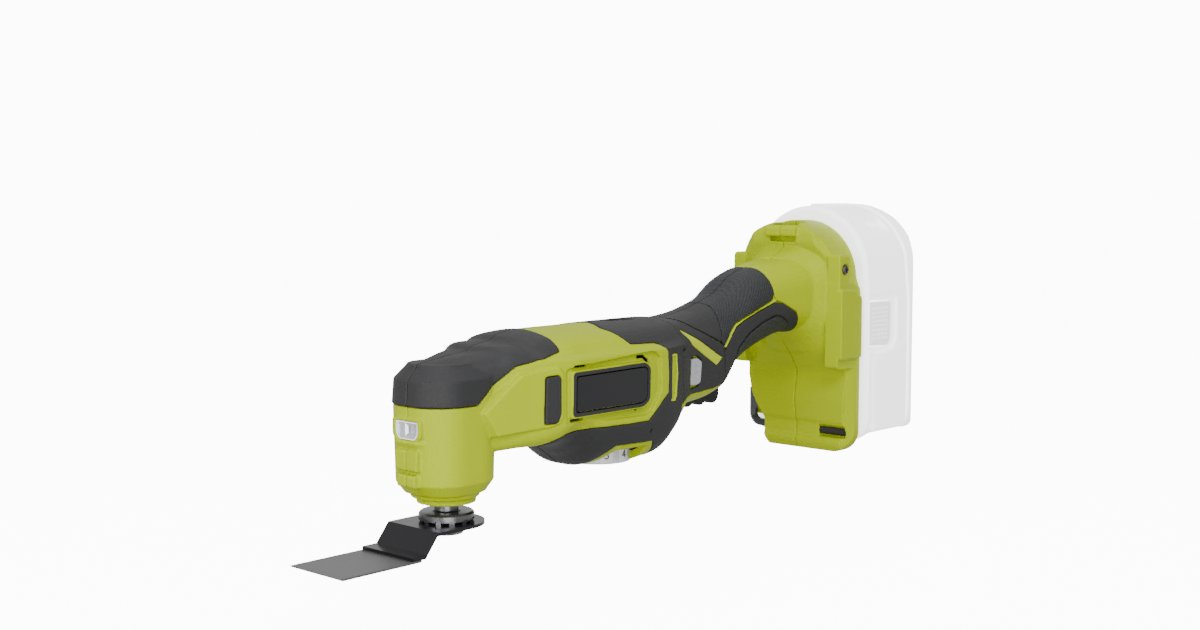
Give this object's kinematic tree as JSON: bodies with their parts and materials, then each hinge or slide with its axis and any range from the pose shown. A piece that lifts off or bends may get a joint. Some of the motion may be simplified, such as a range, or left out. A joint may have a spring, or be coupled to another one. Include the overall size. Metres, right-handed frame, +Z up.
{
  "type": "oscillating multi tool",
  "caption": "Cordless oscillating multi tool: upright spindle head with an offset plunge blade, motor body, raised rear grip, foot and slide-out battery pack.",
  "frame": {"origin": "spindle axis at the accessory seat, where the blade's upper face meets the tool flange", "axes": "+X from the spindle back to the battery, +Y to the tool's right side, +Z up along the spindle"},
  "size_m": [0.381, 0.0766, 0.1394],
  "materials": {
    "lime_plastic": "satin moulded",
    "soft_grey": "matt overmould",
    "plate_black": "satin blank plate",
    "black_plastic": "matt moulded",
    "dial_silver": "satin moulded",
    "screw_steel": "blackened",
    "bright_steel": "turned",
    "bearing_steel": "ground",
    "case_alloy": "die cast",
    "blade_black": "black coated steel",
    "key_black": "black oxide",
    "clear_lens": "clear faceted",
    "board_green": "printed board",
    "copper": "enamelled wire",
    "magnet_dark": "sintered ferrite",
    "carbon": "pressed carbon",
    "pack_shell": "pale frosted moulding",
    "cell_wrap": "wrapped cell",
    "seal_rubber": "matt"
  },
  "bodies": {
    "case": {"left_housing": "lime_plastic", "right_housing": "lime_plastic", "left_head_cover": "soft_grey", "right_head_cover": "soft_grey", "left_body_overmould": "soft_grey", "right_body_overmould": "soft_grey", "left_grip_overmould": "soft_grey", "right_grip_overmould": "soft_grey", "case_screws": "screw_steel", "foot_screws": "screw_steel", "left_side_plate": "plate_black", "right_side_plate": "plate_black", "gear_case": "case_alloy", "lower_spindle_bearing": "bearing_steel", "upper_spindle_bearing": "bearing_steel", "spindle_seal": "seal_rubber", "bearing_clip": "screw_steel", "front_motor_bearing": "bearing_steel", "rear_motor_bearing": "bearing_steel", "motor_can": "bright_steel", "motor_magnets": "magnet_dark", "brush_holder": "black_plastic", "carbon_brushes": "carbon", "dial_potentiometer": "black_plastic", "switch_module": "black_plastic", "lamp_lens": "clear_lens", "lamp_board": "board_green", "control_board": "board_green", "terminal_block": "black_plastic", "terminal_blades": "bright_steel", "trigger_spring": "bright_steel"},
    "spindle": {"spindle": "bright_steel", "tool_flange": "bright_steel", "drive_fork": "bright_steel"},
    "blade": {"blade_holder": "blade_black", "cutting_plate": "blade_black"},
    "clamp": {"clamp_screw": "bright_steel", "clamp_washer": "bright_steel"},
    "rotor": {"rotor_shaft": "bright_steel", "eccentric_hub": "bright_steel", "eccentric_bearing": "bearing_steel", "cooling_fan": "black_plastic", "armature_core": "bright_steel", "armature_windings": "copper", "commutator": "copper"},
    "dial": {"speed_dial": "dial_silver"},
    "trigger": {"trigger": "black_plastic"},
    "lock": {"lock_button": "dial_silver"},
    "key": {"hex_key": "key_black"},
    "battery": {"battery_front_case": "pack_shell", "battery_rear_case": "pack_shell", "battery_cells": "cell_wrap", "battery_contacts": "bright_steel"},
    "latch_left": {"battery_latch_left": "pack_shell"},
    "latch_right": {"battery_latch_right": "pack_shell"}
  },
  "joints": [
    {"name": "spindle_swing", "type": "hinge", "parent": "case", "child": "spindle", "pos_m": [0, 0, 0], "axis": [0, 0, 1], "range_deg": [-1.6, 1.6]},
    {"name": "rotor_spin", "type": "hinge", "parent": "case", "child": "rotor", "pos_m": [0.08, 0, 0.046], "axis": [1, 0, 0], "continuous": true},
    {"name": "clamp_screw_out", "type": "slide", "parent": "spindle", "child": "clamp", "axis": [0, 0, -1], "range_m": [0, 0.024]},
    {"name": "blade_off", "type": "slide", "parent": "spindle", "child": "blade", "axis": [0, 0, -1], "range_m": [0, 0.012]},
    {"name": "speed_dial_turn", "type": "hinge", "parent": "case", "child": "dial", "pos_m": [0.093, 0, 0.017], "axis": [0, 0, 1], "range_deg": [-102, 68]},
    {"name": "trigger_pull", "type": "slide", "parent": "case", "child": "trigger", "axis": [0, 0, 1], "range_m": [0, 0.0045], "stiffness_N_per_m": 900, "springref_m": -0.003, "deforming": ["trigger_spring"]},
    {"name": "lock_press", "type": "slide", "parent": "case", "child": "lock", "axis": [0, 1, 0], "range_m": [0, 0.003], "stiffness_N_per_m": 600, "springref_m": -0.002},
    {"name": "key_out", "type": "slide", "parent": "case", "child": "key", "axis": [0, 1, 0], "range_m": [0, 0.055]},
    {"name": "battery_out", "type": "slide", "parent": "case", "child": "battery", "axis": [1, 0, 0], "range_m": [0, 0.06]},
    {"name": "latch_left_press", "type": "slide", "parent": "battery", "child": "latch_left", "axis": [0, 1, 0], "range_m": [0, 0.0022], "stiffness_N_per_m": 700, "springref_m": -0.002},
    {"name": "latch_right_press", "type": "slide", "parent": "battery", "child": "latch_right", "axis": [0, -1, 0], "range_m": [0, 0.0022], "stiffness_N_per_m": 700, "springref_m": -0.002}
  ],
  "couplings": [
    {"joint": "blade_off", "follows": "clamp_screw_out", "ratio": 0.5}
  ]
}
